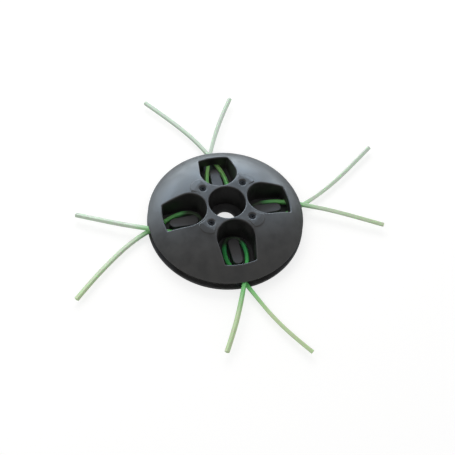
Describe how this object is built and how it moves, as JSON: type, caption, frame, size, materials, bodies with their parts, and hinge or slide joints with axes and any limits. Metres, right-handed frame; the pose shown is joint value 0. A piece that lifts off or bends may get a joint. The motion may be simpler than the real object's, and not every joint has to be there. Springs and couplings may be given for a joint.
{
  "type": "multi-line trimmer head",
  "caption": "Domed fixed-line trimmer head with a central nut recess and shaft hole, pockets with tongues, and green cutting lines looped through windows in the rim.",
  "frame": {"origin": "centre of the flat underside of the base plate, on the shaft axis", "axes": "+Z along the shaft axis towards the nut side, +X and +Y through the middles of two pockets"},
  "size_m": [0.3322, 0.3214, 0.034],
  "materials": {
    "moulded_shell": "charcoal glass-filled nylon, fine satin mould texture",
    "moulded_base": "charcoal glass-filled nylon, satin",
    "screw_steel": "blackened steel",
    "cutting_line": "extruded square green nylon, slightly clear"
  },
  "bodies": {
    "root": {"top_cover": "moulded_shell", "base_plate": "moulded_base", "cover_screws": "screw_steel", "line_right": "cutting_line", "line_far": "cutting_line", "line_left": "cutting_line", "line_near": "cutting_line"}
  },
  "joints": []
}
